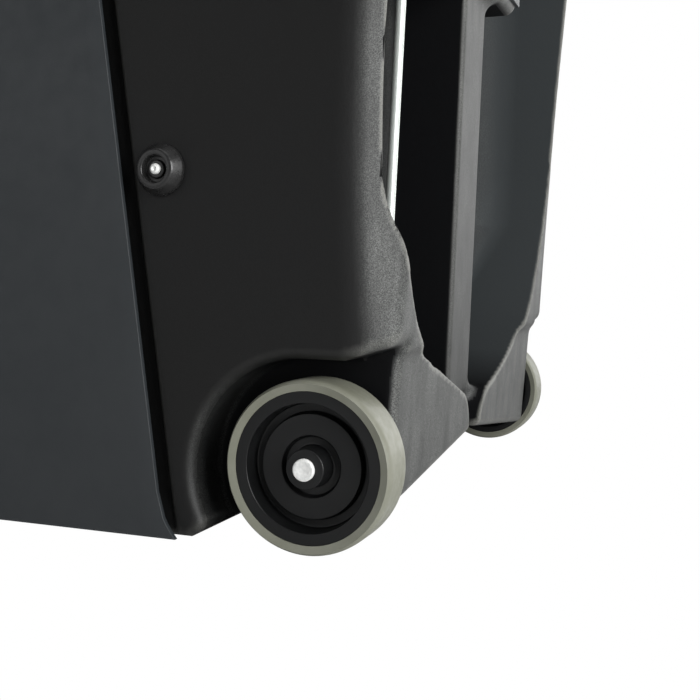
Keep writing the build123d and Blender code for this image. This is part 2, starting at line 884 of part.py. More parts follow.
# ================================================================ hopper
def tub(base_half_x, base_front, base_rear, top_half_x, top_front, top_rear, low_z, high_z):
    """A four-sided tapering solid."""
    low = Pos(0, (base_front + base_rear) / 2, low_z) * Rectangle(
        2 * base_half_x, base_rear - base_front
    )
    high = Pos(0, (top_front + top_rear) / 2, high_z) * Rectangle(
        2 * top_half_x, top_rear - top_front
    )
    return loft([low, high])


hopper_base_front_y = feed_y - bowl_inner_radius - 6
hopper_top_front_y = -rear_extreme_y + hopper_rim


def make_ball_hopper():
    outer = tub(
        hopper_base_half_x, hopper_base_front_y, hopper_base_rear_y,
        hopper_top_half_x, hopper_top_front_y, hopper_top_rear_y,
        deck_top_z, hopper_top_z,
    )
    inner = tub(
        hopper_base_half_x - hopper_wall, hopper_base_front_y + hopper_wall,
        hopper_base_rear_y - hopper_wall,
        hopper_top_half_x - hopper_wall, hopper_top_front_y + hopper_wall,
        hopper_top_rear_y - hopper_wall,
        deck_top_z + hopper_wall, hopper_top_z + 0.01,
    )
    rim_outer = block(
        -hopper_top_half_x - hopper_rim, hopper_top_half_x + hopper_rim,
        hopper_top_front_y - hopper_rim, hopper_top_rear_y + hopper_rim,
        hopper_top_z - hopper_wall, hopper_top_z,
    )
    rim_inner = block(
        -hopper_top_half_x + hopper_wall, hopper_top_half_x - hopper_wall,
        hopper_top_front_y + hopper_wall, hopper_top_rear_y - hopper_wall,
        hopper_top_z - hopper_wall - 1, hopper_top_z + 1,
    )
    hole = bar_z(bowl_inner_radius, deck_top_z - 1, deck_top_z + hopper_wall + 1, 0, feed_y)
    return outer + (rim_outer - rim_inner) - inner - hole


# ================================================================ control panel
def make_control_panel():
    panel = block(
        -panel_half_width, panel_half_width, console_rear_y, panel_face_y,
        panel_low_z, panel_high_z,
    )
    for step in (-1, 0, 1):
        panel = panel - bar_y(
            3 + running_gap, console_rear_y - 1, panel_face_y + 1, step * knob_pitch, knob_z
        )
        panel = panel - bar_y(
            button_radius + 0.3, console_rear_y - 1, panel_face_y + 1,
            step * button_pitch - 20, button_z,
        )
    panel = panel - bar_y(
        socket_radius - 1.5, console_rear_y - 1, panel_face_y + 1, socket_x, button_z
    )
    return panel - block(
        rocker_x - rocker_half_width - 0.5, rocker_x + rocker_half_width + 0.5,
        console_rear_y - 1, panel_face_y + 1,
        rocker_z - rocker_half_height - 0.6, rocker_z + rocker_half_height + 0.6,
    )


def make_knob(step):
    """Knob with a pointer ridge and its shaft through the panel."""
    centre_x = step * knob_pitch
    low_y = panel_face_y + 0.4
    body = bar_y(knob_radius, low_y, low_y + knob_height, centre_x, knob_z)
    for number in range(10):
        angle = math.radians(36 * number)
        body = body - bar_y(
            1.6, low_y + 3, low_y + knob_height + 1,
            centre_x + knob_radius * math.cos(angle), knob_z + knob_radius * math.sin(angle),
        )
    pointer = block(
        centre_x - 0.8, centre_x + 0.8, low_y + knob_height - 1, low_y + knob_height + 0.8,
        knob_z, knob_z + knob_radius - 2,
    )
    shaft = bar_y(3, console_rear_y - 8, low_y + 1, centre_x, knob_z)
    collar = bar_y(5, console_rear_y - 4, console_rear_y - 0.3, centre_x, knob_z)
    return body + pointer + shaft + collar


def make_button(step):
    centre_x = step * button_pitch - 20
    cap = bar_y(button_radius, console_rear_y - 3, panel_face_y + button_height, centre_x, button_z)
    flange = bar_y(
        button_radius + 1.6, console_rear_y - 4, console_rear_y - 0.4, centre_x, button_z
    )
    return cap + flange


def make_power_rocker():
    """Shallow V-shaped rocker, drawn in its middle position."""
    half = rocker_half_height
    middle_y = console_rear_y + 1.5
    points = [
        (middle_y - 4, rocker_z - half + 1.5),
        (middle_y + 5.5, rocker_z - half),
        (middle_y + 3.5, rocker_z),
        (middle_y + 5.5, rocker_z + half),
        (middle_y - 4, rocker_z + half - 1.5),
    ]
    return side_prism(points, rocker_x - rocker_half_width, rocker_x + rocker_half_width)


def make_display_window():
    return block(
        -76, 24, panel_face_y, panel_face_y + 1.6, rocker_z - 13, rocker_z + 13
    )


def make_charge_socket():
    flange = bar_y(socket_radius, panel_face_y, panel_face_y + 2, socket_x, button_z)
    barrel = bar_y(socket_radius - 2, console_rear_y - 14, panel_face_y + 1, socket_x, button_z)
    hole = bar_y(3.2, console_rear_y - 6, panel_face_y + 3, socket_x, button_z)
    pin = bar_y(1.0, console_rear_y - 7, panel_face_y - 1, socket_x, button_z)
    return flange + barrel - hole + pin


# ================================================================ battery and electronics
def make_battery():
    rear_y_here = battery_front_y + battery_length
    case = block(
        battery_x, battery_x + battery_width, battery_front_y, rear_y_here,
        base_top_z, base_top_z + battery_height,
    )
    top_z = base_top_z + battery_height
    middle_x = battery_x + battery_width / 2
    for offset in (18, battery_length - 18):
        case = case + bar_z(6, top_z - 1, top_z + 6, middle_x, battery_front_y + offset)
    return case


def make_battery_strap():
    middle_y = battery_front_y + battery_length / 2
    top_z = base_top_z + battery_height
    outer = block(
        battery_x - strap_thickness, battery_x + battery_width + strap_thickness,
        middle_y - strap_width / 2, middle_y + strap_width / 2,
        base_top_z, top_z + strap_thickness,
    )
    inner = block(
        battery_x, battery_x + battery_width,
        middle_y - strap_width / 2 - 1, middle_y + strap_width / 2 + 1,
        base_top_z - 1, top_z,
    )
    return outer - inner


board_x = (-body_half_width + 14.0, -body_half_width + 78.0)
board_y = (-140.0, -10.0)
board_z = base_top_z + 8


def make_control_board():
    board = block(board_x[0], board_x[1], board_y[0], board_y[1], board_z, board_z + 1.6)
    top = board_z + 1.6
    left = board_x[0]
    relay = block(left + 6, left + 24, -132, -104, top, top + 16)
    heat_sink = block(left + 32, left + 56, -132, -84, top, top + 4)
    for number in range(5):
        fin_x = left + 33 + 5.2 * number
        heat_sink = heat_sink + block(fin_x, fin_x + 1.6, -132, -84, top, top + 20)
    chip = block(left + 12, left + 26, -80, -66, top, top + 2)
    terminal = block(left + 6, left + 58, -26, -14, top, top + 10)
    return board + relay + heat_sink + chip + terminal


def make_board_posts():
    posts = []
    for post_x in (board_x[0] + 5, board_x[1] - 5):
        for post_y in (board_y[0] + 5, board_y[1] - 5):
            posts.append(bar_z(3, base_top_z, board_z, post_x, post_y))
    return Compound(children=posts)


# ================================================================ nodes
nodes = {
    "rear_body": make_rear_body(),
    "front_shell": make_front_shell(),
    "window_bezel": make_window_bezel(),
    "base_plate": make_base_plate(),
    "base_screws": make_base_screws(),
    "front_feet": make_front_feet(),
    "top_deck": make_top_deck(),
    "wheel_axle": make_wheel_axle(),
    "axle_caps": make_axle_caps(),
    "axle_spacers": make_axle_spacers(),
    "left_wheel_hub": make_wheel_hub(),
    "left_wheel_tyre": make_wheel_tyre(),
    "right_wheel_hub": mirror_x(make_wheel_hub()),
    "right_wheel_tyre": mirror_x(make_wheel_tyre()),
    "side_bumpers": make_side_bumpers(),
    "bumper_screws": make_bumper_screws(),
    "handle_rods": make_handle_rods(),
    "handle_grip": make_handle_grip(),
    "handle_stops": make_handle_stops(),
    "lower_handle_guides": make_handle_guides(guide_low_z),
    "upper_handle_guides": make_handle_guides(guide_high_z),
    "carousel_bowl": make_carousel_bowl(),
    "carousel": make_carousel(),
    "carousel_gearmotor": make_carousel_gearmotor(),
    "drop_tube": make_drop_tube(),
    "sweep_bearing": make_sweep_bearing(),
    "sweep_gearmotor": make_sweep_gearmotor(),
    "sweep_platform": make_sweep_platform(),
    "pivot_pin": make_pivot_pin(),
    "elevation_gearmotor": make_elevation_gearmotor(),
    "cradle_frame": make_cradle_frame(),
    "ball_guide": make_ball_guide(),
    "ball_hopper": make_ball_hopper(),
    "control_panel": make_control_panel(),
    "power_rocker": make_power_rocker(),
    "display_window": make_display_window(),
    "charge_socket": make_charge_socket(),
    "battery": make_battery(),
    "battery_strap": make_battery_strap(),
    "control_board": make_control_board(),
    "board_posts": make_board_posts(),
}
for side_name, side in (("left", 1), ("right", -1)):
    nodes[side_name + "_throw_motor"] = make_throw_motor(side)
    nodes[side_name + "_throw_hub"] = make_throw_hub(side)
    nodes[side_name + "_throw_tyre"] = make_throw_tyre(side)
for control_name, step in (("speed", -1), ("feed", 0), ("spin", 1)):
    nodes[control_name + "_knob"] = make_knob(step)
for control_name, step in (("start", -1), ("height", 0), ("sweep", 1)):
    nodes[control_name + "_button"] = make_button(step)

os.makedirs("parts", exist_ok=True)
for node_name, node_shape in nodes.items():
    export_step(node_shape, "parts/" + node_name + ".step")
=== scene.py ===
"""Looks of the tennis ball machine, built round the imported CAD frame.

Metres, in the row frame: +Z up, +Y to the rear (wheels and handle), +X to the machine's left.
The moulded case is modelled here as smooth implicit solids. Wheels, bumpers, grip and screws are
turned profiles. The mechanism inside keeps its CAD meshes, with softened edges and real finishes.
"""

import json
import math

import bmesh
import bpy
import numpy as np
from mathutils import Matrix, Vector


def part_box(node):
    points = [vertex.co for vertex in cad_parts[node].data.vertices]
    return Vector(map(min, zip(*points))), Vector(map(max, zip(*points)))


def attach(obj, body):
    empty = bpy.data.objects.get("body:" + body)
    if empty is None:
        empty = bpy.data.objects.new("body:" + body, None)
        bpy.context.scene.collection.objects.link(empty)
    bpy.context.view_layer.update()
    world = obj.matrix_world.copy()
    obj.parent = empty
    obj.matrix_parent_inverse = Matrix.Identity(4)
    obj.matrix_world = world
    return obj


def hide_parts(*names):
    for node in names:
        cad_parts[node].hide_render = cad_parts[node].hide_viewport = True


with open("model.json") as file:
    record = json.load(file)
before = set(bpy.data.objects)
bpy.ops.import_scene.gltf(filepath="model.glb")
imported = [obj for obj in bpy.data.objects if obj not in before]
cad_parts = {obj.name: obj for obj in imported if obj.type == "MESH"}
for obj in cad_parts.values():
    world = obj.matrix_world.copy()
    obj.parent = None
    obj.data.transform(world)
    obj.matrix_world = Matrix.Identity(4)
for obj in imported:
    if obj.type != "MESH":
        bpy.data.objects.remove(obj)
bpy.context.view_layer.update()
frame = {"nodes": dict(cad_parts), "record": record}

# ------------------------------------------------------------------ places read from the frame
tyre_low, tyre_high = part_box("left_wheel_tyre")
hub_low, hub_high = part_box("left_wheel_hub")
body_low, body_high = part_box("rear_body")
shell_low, shell_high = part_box("front_shell")
bumper_low, bumper_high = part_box("side_bumpers")
cap_low, cap_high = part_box("axle_caps")

wheel_radius = (tyre_high.z - tyre_low.z) / 2
wheel_width = tyre_high.x - tyre_low.x
wheel_centre = (tyre_low + tyre_high) / 2
axle_y = wheel_centre.y
axle_z = wheel_centre.z
body_half_width = body_high.x
body_top = body_high.z
case_bottom = shell_low.z
hub_radius = (hub_high.z - hub_low.z) / 2
bumper_height = bumper_high.x - body_half_width
bumper_centre_y = (bumper_low.y + bumper_high.y) / 2
bumper_centre_z = (bumper_low.z + bumper_high.z) / 2

# ------------------------------------------------------------------ shape of the mouldings
wall = 0.005
seam_foot_y = 0.043
seam_lean = math.radians(7.9)
seam_groove_depth = 0.005
seam_groove_width = 0.0045
seam_blend = 0.02               # over this the groove fades in above its foot, and the wall thickens
groove_foot_z = 0.008
seam_overlap = 0.012            # the rear moulding reaches this far inside the shell
rear_lean = math.radians(3.5)
rear_y_low = 0.1775
rear_low_z = 0.110
leg_step = 0.005
leg_step_z = 0.114
leg_step_blend = 0.0035
corner_waist_y = 0.152
corner_waist_z = 0.250
corner_curve_radius = 1.116
corner_slope = 1.36
channel_floor_y = 0.100
# outer side, radius of the sweep, height of its centre, where it turns into the straight run
left_channel = (0.240, 0.114, 0.217, 0.148)
right_channel = (0.222, 0.292, 0.290, 0.148)
channel_inner_z = 0.067
channel_bend_edge = 0.010
left_channel_bend = 0.006
right_channel_bend = 0.045
slot_top_z = 0.12
slot_join = 0.026
# the round between wall and floor of a channel grows from the first radius by the second one
channel_root = (0.010, 0.042)
channel_root_z = 0.13
channel_root_span = 0.08
slot_half_width = 0.018
rib_half_width = 0.032
rib_rear_y = 0.1555
rib_rear_slope = 0.022
rib_rear_base_z = 0.09
rib_bottom_z = 0.064
console_half_width = 0.084
console_bottom_z = 0.375
console_rear_y = 0.176
console_floor_z = 0.38
console_pocket_y = 0.08
panel_opening_half_width = 0.072
panel_opening_z = (0.388, 0.478)
panel_opening_y = 0.15
well_depth_x = 0.216
well_radius = 0.067
well_centre_y = axle_y - 0.005
well_centre_z = 0.044
well_ceiling_slope = 0.33
well_ceiling_run = 0.020        # level this far behind the axle, then rising
well_lining = 0.005
leg_bottom_z = 0.020
leg_bottom_slope = 0.108
bottom_rise = 0.62
bottom_rise_y = 0.056           # the underside rises behind this to the legs
base_z = 0.031
# rounds where two shapes of the rear moulding meet
case_edge = 0.006
back_edge = 0.005
channel_edge = 0.0016
rib_root = 0.013
well_edge = 0.007
groove_edge = 0.0035


# ================================================================== materials
def new_material(name):
    made = bpy.data.materials.new(name)
    made.use_nodes = True
    tree = made.node_tree
    shader = tree.nodes["Principled BSDF"]
    place = tree.nodes.new("ShaderNodeTexCoord")
    return made, tree, shader, place.outputs["Object"]


def noise(tree, place, scale, detail=3.0, roughness=0.6, stretch=None):
    """A noise texture over the object's own space."""
    texture = tree.nodes.new("ShaderNodeTexNoise")
    texture.inputs["Scale"].default_value = scale
    texture.inputs["Detail"].default_value = detail
    texture.inputs["Roughness"].default_value = roughness
    source = place
    if stretch:
        mapping = tree.nodes.new("ShaderNodeMapping")
        mapping.inputs["Scale"].default_value = stretch
        tree.links.new(place, mapping.inputs["Vector"])
        source = mapping.outputs["Vector"]
    tree.links.new(source, texture.inputs["Vector"])
    return texture.outputs["Fac"]


def spread(tree, value, low, high, from_low=0.3, from_high=0.7):
    """Maps a value to a range."""
    node = tree.nodes.new("ShaderNodeMapRange")
    node.inputs["From Min"].default_value = from_low
    node.inputs["From Max"].default_value = from_high
    node.inputs["To Min"].default_value = low
    node.inputs["To Max"].default_value = high
    tree.links.new(value, node.inputs["Value"])
    return node.outputs["Result"]


def mix_colours(tree, factor, first, second):
    """Mixes two colours, each given by its numbers or as the output of a node."""
    node = tree.nodes.new("ShaderNodeMix")
    node.data_type = "RGBA"
    tree.links.new(factor, node.inputs[0])
    for socket, colour in ((node.inputs[6], first), (node.inputs[7], second)):
        if isinstance(colour, tuple):
            socket.default_value = (*colour, 1)
        else:
            tree.links.new(colour, socket)
    return node.outputs[2]


def calculate(tree, kind, first, second):
    """Arithmetic on the outputs of two nodes, kept between 0 and 1."""
    node = tree.nodes.new("ShaderNodeMath")
    node.operation = kind
    node.use_clamp = True
    tree.links.new(first, node.inputs[0])
    tree.links.new(second, node.inputs[1])
    return node.outputs[0]


def components(tree, vector):
    node = tree.nodes.new("ShaderNodeSeparateXYZ")
    tree.links.new(vector, node.inputs[0])
    return node.outputs


def bump(tree, shader, height, strength, distance):
    node = tree.nodes.new("ShaderNodeBump")
    node.inputs["Strength"].default_value = strength
    node.inputs["Distance"].default_value = distance
    tree.links.new(height, node.inputs["Height"])
    tree.links.new(node.outputs["Normal"], shader.inputs["Normal"])


def finish_material(
    name, dark, light, rough, grain=900.0, grain_height=0.00005, grain_strength=0.4,
    metallic=0.0, specular=0.5, stretch=None, blotch=14.0, coat=0.0,
):
    """A finish with blotchy colour, uneven roughness and a fine surface grain."""
    made, tree, shader, place = new_material(name)
    patches = spread(tree, noise(tree, place, blotch), 0.0, 1.0)
    tree.links.new(mix_colours(tree, patches, dark, light), shader.inputs["Base Color"])
    wear = noise(tree, place, blotch * 6, 4.0, stretch=stretch)
    tree.links.new(spread(tree, wear, rough[0], rough[1]), shader.inputs["Roughness"])
    shader.inputs["Metallic"].default_value = metallic
    shader.inputs["Specular IOR Level"].default_value = specular
    shader.inputs["Coat Weight"].default_value = coat
    fine = noise(tree, place, grain, 2.0, stretch=stretch)
    bump(tree, shader, fine, grain_strength, grain_height)
    return made


def moulded_black(name, specular):
    """Rotomoulded plastic: black and pebbled, scuffed pale where the back is dragged;
    the pale rear-facing faces are partly painted light where the lamps fall on them.

    Painted light turns the wall and floor of the right channel a paler blue-grey where they face
    inward or upward, and a painted highlight runs along the sharp outer edges.
    """
    made, tree, shader, place = new_material(name)
    surface = tree.nodes.new("ShaderNodeNewGeometry")
    facing = components(tree, surface.outputs["Normal"])
    where = components(tree, place)
    sideways = tree.nodes.new("ShaderNodeMath")
    sideways.operation = "ABSOLUTE"
    tree.links.new(where["X"], sideways.inputs[0])
    near_sides = spread(tree, sideways.outputs[0], 0.0, 1.0, 0.236, 0.250)
    patches = spread(tree, noise(tree, place, 9.0), 0.6, 1.0)
    patches = calculate(tree, "MULTIPLY", patches, near_sides)
    black = mix_colours(tree, patches, (0.0052, 0.0054, 0.0060), (0.0046, 0.0047, 0.0045))

    # Painted light: where the right channel's wall and floor face inward or upward, the black turns
    # a paler blue-grey.
    inward = spread(tree, facing["X"], 0.0, 1.0, 0.35, 1.0)
    upward = spread(tree, facing["Z"], 0.0, 1.0, 0.1, 0.6)
    right_side = spread(tree, where["X"], 0.0, 1.0, -0.04, -0.12)
    painted_wall_light = calculate(tree, "MULTIPLY", calculate(tree, "ADD", inward, upward), right_side)
    black = mix_colours(tree, painted_wall_light, black, (0.042, 0.047, 0.049))

    # Partly scuffing, partly painted light: rear-facing outer faces turn pale grey and speckled, and
    # faces further forward, where shade falls, get less of it.
    rearward = spread(tree, facing["Y"], 0.0, 1.0, 0.30, 0.62)
    outermost = spread(tree, where["Y"], 0.25, 1.0, 0.150, 0.166)
    speckle = noise(tree, place, 1400.0, 3.0, 0.8)
    streaks = noise(tree, place, 55.0, 5.0, 0.7, stretch=(1.0, 1.0, 0.35))
    wear = calculate(tree, "MULTIPLY", rearward, outermost)
    wear = calculate(tree, "MULTIPLY", wear, spread(tree, streaks, 0.50, 1.0, 0.35, 0.65))
    grit = spread(tree, speckle, 0.0, 1.0, 0.40, 0.66)
    scuff_and_light = mix_colours(tree, grit, (0.016, 0.017, 0.016), (0.205, 0.210, 0.202))
    skin = mix_colours(tree, wear, black, scuff_and_light)

    # Painted highlight: a pale line along the sharp outer edges of the lit rear faces.
    edges = spread(tree, surface.outputs["Pointiness"], 0.0, 0.75, 0.512, 0.545)
    edges = calculate(tree, "MULTIPLY", edges, outermost)
    edges = calculate(tree, "MULTIPLY", edges, spread(tree, speckle, 0.35, 1.0, 0.3, 0.6))
    skin = mix_colours(tree, edges, skin, (0.24, 0.24, 0.22))
    tree.links.new(skin, shader.inputs["Base Color"])
    tree.links.new(spread(tree, speckle, 0.44, 0.66), shader.inputs["Roughness"])
    shader.inputs["Specular IOR Level"].default_value = specular
    pebbles = noise(tree, place, 420.0, 3.0, 0.62, stretch=(1.0, 1.0, 0.6))
    bump(tree, shader, pebbles, 0.5, 0.0002)
    return made


finishes = {
    "moulded_black": moulded_black("moulded_black", 0.34),
    "shell_blue_grey": finish_material(
        "shell_blue_grey", (0.020, 0.024, 0.027), (0.026, 0.030, 0.033), (0.40, 0.55),
        grain=1400.0, grain_height=0.0001, grain_strength=0.5,
    ),
    "hub_black": finish_material(
        "hub_black", (0.0045, 0.0048, 0.0050), (0.0070, 0.0073, 0.0076), (0.30, 0.44),
        grain=1800.0, grain_height=0.00003, specular=0.35,
    ),
    "tyre_grey": finish_material(
        "tyre_grey", (0.185, 0.188, 0.145), (0.240, 0.243, 0.198), (0.34, 0.55),
        grain=1100.0, grain_height=0.00005, grain_strength=0.35, blotch=30.0,
    ),
    "black_rubber": finish_material(
        "black_rubber", (0.012, 0.012, 0.012), (0.022, 0.022, 0.022), (0.20, 0.38),
        grain=500.0, grain_height=0.0001, blotch=60.0,
    ),
    "zinc": finish_material(
        "zinc", (0.74, 0.75, 0.73), (1.0, 1.0, 0.98), (0.25, 0.55),
        grain=1500.0, grain_height=0.0002, grain_strength=0.8, metallic=0.08, blotch=520.0,
    ),
    "polished_aluminium": finish_material(
        "polished_aluminium", (0.74, 0.79, 0.75), (0.84, 0.88, 0.84), (0.30, 0.42),
        grain=800.0, grain_height=0.00002, metallic=0.45, stretch=(1, 1, 0.02),
    ),
    "sheet_steel": finish_material(
        "sheet_steel", (0.45, 0.45, 0.46), (0.60, 0.60, 0.61), (0.30, 0.50),
        metallic=1.0, stretch=(0.05, 1, 1),
    ),
    "motor_steel": finish_material(
        "motor_steel", (0.42, 0.42, 0.43), (0.58, 0.58, 0.58), (0.28, 0.45),
        metallic=1.0, stretch=(1, 1, 0.05),
    ),
    "nylon_white": finish_material(
        "nylon_white", (0.66, 0.66, 0.62), (0.74, 0.74, 0.70), (0.40, 0.55),
    ),
    "guide_black": finish_material(
        "guide_black", (0.016, 0.016, 0.017), (0.026, 0.026, 0.027), (0.38, 0.52),
    ),
    "frame_black": finish_material(
        "frame_black", (0.016, 0.016, 0.017), (0.022, 0.022, 0.023), (0.35, 0.48),
        grain=1200.0, grain_height=0.00012,
    ),
    "throw_rubber": finish_material(
        "throw_rubber", (0.15, 0.15, 0.15), (0.22, 0.22, 0.21), (0.60, 0.80),
        grain=500.0, grain_height=0.0002,
    ),
    "hub_aluminium": finish_material(
        "hub_aluminium", (0.62, 0.63, 0.64), (0.74, 0.75, 0.76), (0.28, 0.42), metallic=1.0,
    ),
    "panel_grey": finish_material(
        "panel_grey", (0.055, 0.058, 0.062), (0.070, 0.073, 0.078), (0.42, 0.55),
        grain=1600.0, grain_height=0.00008,
    ),
    "knob_black": finish_material(
        "knob_black", (0.012, 0.012, 0.012), (0.020, 0.020, 0.020), (0.36, 0.50),
    ),
    "button_grey": finish_material(
        "button_grey", (0.24, 0.245, 0.25), (0.30, 0.305, 0.31), (0.45, 0.58),
    ),
    "rocker_red": finish_material(
        "rocker_red", (0.42, 0.015, 0.012), (0.50, 0.022, 0.018), (0.22, 0.32), coat=0.3,
    ),
    "display_dark": finish_material(
        "display_dark", (0.010, 0.013, 0.013), (0.016, 0.020, 0.020), (0.05, 0.10),
        grain=300.0, grain_height=0.00001, coat=0.5,
    ),
    "battery_grey": finish_material(
        "battery_grey", (0.045, 0.045, 0.050), (0.065, 0.065, 0.070), (0.48, 0.62),
    ),
    "board_green": finish_material(
        "board_green", (0.010, 0.085, 0.030), (0.016, 0.120, 0.045), (0.28, 0.42), blotch=90.0,
    ),
    "brass_posts": finish_material(
        "brass_posts", (0.62, 0.46, 0.18), (0.74, 0.56, 0.25), (0.25, 0.38), metallic=1.0,
    ),
}
# A copy of the moulded black with weak specular reflection: painted shade for the recesses.
painted_shade_black = moulded_black("moulded_black_painted_shade", 0.07)
node_slots = {entry["node"]: entry["material_slot"] for entry in frame["record"]["subparts"]}


# ================================================================== mesh helpers
def dress(obj, slot_name, body, *cad_nodes, sharp=35):
    """Gives a piece its finish and its body, and hides the CAD nodes that it stands for."""
    obj.data.materials.append(finishes[slot_name])
    obj.data.shade_smooth()
    if sharp is not None:
        obj.data.set_sharp_from_angle(angle=math.radians(sharp))
    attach(obj, body)
    if cad_nodes:
        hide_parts(*cad_nodes)
    return obj


def add_object(name, data):
    made = bpy.data.objects.new(name, data)
    bpy.context.scene.collection.objects.link(made)
    return made


def mesh_object(name, points, faces):
    mesh = bpy.data.meshes.new(name)
    mesh.from_pydata([tuple(point) for point in points], [], [tuple(face) for face in faces])
    mesh.update()
    return add_object(name, mesh)


def ring_faces(rings, count, closed=True):
    """Four-sided faces between neighbouring rings of points, and from last to first if closed."""
    faces = []
    for ring in range(rings if closed else rings - 1):
        next_ring = (ring + 1) % rings
        for step in range(count):
            following = (step + 1) % count
            faces.append((
                ring * count + step, ring * count + following,
                next_ring * count + following, next_ring * count + step,
            ))
    return faces


def rounded_corners(points, radii, steps=5):
    """A closed outline with each corner replaced by an arc of its own radius, or kept if 0."""
    outline = []
    count = len(points)
    for number, corner in enumerate(points):
        radius = radii[number]
        before = Vector(points[number - 1]) - Vector(corner)
        after = Vector(points[(number + 1) % count]) - Vector(corner)
        if radius <= 0:
            outline.append(tuple(corner))
            continue
        half_angle = before.angle(after) / 2
        back = min(radius / math.tan(half_angle), before.length * 0.49, after.length * 0.49)
        true_radius = back * math.tan(half_angle)
        middle = (before.normalized() + after.normalized()).normalized()
        centre = Vector(corner) + middle * (true_radius / math.sin(half_angle))
        start = Vector(corner) + before.normalized() * back - centre
        end = Vector(corner) + after.normalized() * back - centre
        turn = start.angle(end)
        for step in range(steps + 1):
            share = step / steps
            first = math.sin((1 - share) * turn) / math.sin(turn)
            second = math.sin(share * turn) / math.sin(turn)
            point = centre + start * first + end * second
            outline.append((point.x, point.y))
    return outline


def turned(name, outline, centre, axis, segments=96):
    """A closed outline of (distance along the axis, radius) pairs, turned about the axis."""
    along = Vector(axis).normalized()
    across = along.orthogonal().normalized()
    third = along.cross(across)
    points = []
    for step in range(segments):
        angle = 2 * math.pi * step / segments
        outward = across * math.cos(angle) + third * math.sin(angle)
        for distance, radius in outline:
            points.append(Vector(centre) + along * distance + outward * radius)
    made = mesh_object(name, points, ring_faces(segments, len(outline)))
    fix_normals(made)
    return made


def fix_normals(obj):
    """Joins doubled points and turns every face outward."""
    work = bmesh.new()
    work.from_mesh(obj.data)
    bmesh.ops.remove_doubles(work, verts=work.verts, dist=1e-7)
    bmesh.ops.recalc_face_normals(work, faces=work.faces)
    work.to_mesh(obj.data)
    work.free()


def soften(obj, width=0.0006, segments=2):
    """Softened edges on a CAD mesh, without touching its vertices."""
    weld = obj.modifiers.new("weld", "WELD")
    weld.merge_threshold = 1e-6
    bevel = obj.modifiers.new("edges", "BEVEL")
    bevel.width = width
    bevel.segments = segments
    bevel.limit_method = "ANGLE"
    bevel.angle_limit = math.radians(40)


# ================================================================== implicit solids
def round_both(a, b, radius):
    """Where both hold, with the edge between them rounded."""
    u = np.maximum(a + radius, 0)
    v = np.maximum(b + radius, 0)
    return np.minimum(np.maximum(a + radius, b + radius), 0) - radius + np.sqrt(u * u + v * v)


def round_either(a, b, radius):
    return -round_both(-a, -b, radius)


def cut_away(a, b, radius):
    return round_both(a, -b, radius)


def slab(value, low, high):
    return np.maximum(low - value, value - high)


def surface_net(field, low, high, step):
    """Vertices and four-sided faces of the surface where the field is zero."""
    step = np.array(step)
    finest = step.min()
    damping = 0.06
    axes = [np.arange(a - 2 * gap, b + 2 * gap, gap) for a, b, gap in zip(low, high, step)]
    x = axes[0][:, None, None]
    y = axes[1][None, :, None]
    z = axes[2][None, None, :]
    values = field(x, y, z)
    inside = values < 0
    corners = [(i, j, k) for i in (0, 1) for j in (0, 1) for k in (0, 1)]
    size = np.array(values.shape) - 1

    def shifted(array, offset):
        i, j, k = offset
        return array[i:i + size[0], j:j + size[1], k:k + size[2]]

    total = sum(shifted(inside, corner).astype(np.int8) for corner in corners)
    active = (total > 0) & (total < 8)
    number = np.full(active.shape, -1, np.int64)
    number[active] = np.arange(active.sum())
    cells = np.argwhere(active)
    corner_values = np.stack([shifted(values, corner)[active] for corner in corners], axis=1)
    origin = np.array([axis[0] for axis in axes])
    middle_point = np.zeros((len(cells), 3))
    crossings = np.zeros(len(cells))
    squares = np.zeros((len(cells), 3, 3))
    pulls = np.zeros((len(cells), 3))
    for first, a in enumerate(corners):
        for second, b in enumerate(corners):
            if second <= first or sum(abs(p - q) for p, q in zip(a, b)) != 1:
                continue
            va = corner_values[:, first]
            vb = corner_values[:, second]
            crossed = (va < 0) != (vb < 0)
            share = va[crossed] / (va[crossed] - vb[crossed])
            point = cells[crossed] + np.array(a) + share[:, None] * (np.array(b) - np.array(a))
            point = point * step + origin
            _, slope = value_and_slope(field, point, finest * 0.02)
            slope /= np.maximum(np.linalg.norm(slope, axis=1), 1e-6)[:, None]
            middle_point[crossed] += point
            crossings[crossed] += 1
            squares[crossed] += slope[:, :, None] * slope[:, None, :]
            pulls[crossed] += slope * (slope * point).sum(axis=1)[:, None]
    middle_point /= crossings[:, None]
    # Each vertex goes where the planes of its crossings meet, so that creases stay crisp.
    rest = pulls - (squares @ middle_point[:, :, None])[:, :, 0]
    offset = np.linalg.solve(squares + damping * np.eye(3), rest[:, :, None])[:, :, 0]
    reach = np.linalg.norm(offset, axis=1)
    offset *= np.minimum(1, finest / np.maximum(reach, 1e-9))[:, None]
    position = settle_on_surface(middle_point + offset, field, finest)

    faces = []
    for axis in range(3):
        others = [other for other in range(3) if other != axis]
        lower = [slice(None)] * 3
        upper = [slice(None)] * 3
        lower[axis] = slice(0, -1)
        upper[axis] = slice(1, None)
        here = inside[tuple(lower)]
        there = inside[tuple(upper)]
        trimmed = [slice(1, -1)] * 3
        trimmed[axis] = slice(None)
        starts = np.argwhere((here != there)[tuple(trimmed)])
        for other in others:
            starts[:, other] += 1
        ring = []
        for back_one, back_two in ((1, 1), (0, 1), (0, 0), (1, 0)):
            cell = starts.copy()
            cell[:, others[0]] -= back_one
            cell[:, others[1]] -= back_two
            ring.append(number[tuple(cell.T)])
        quad = np.stack(ring, axis=1)
        leaving = here[tuple(starts.T)]
        flip = leaving if axis == 1 else ~leaving
        quad[flip] = quad[flip][:, ::-1]
        faces.append(quad)
    return position, np.concatenate(faces)


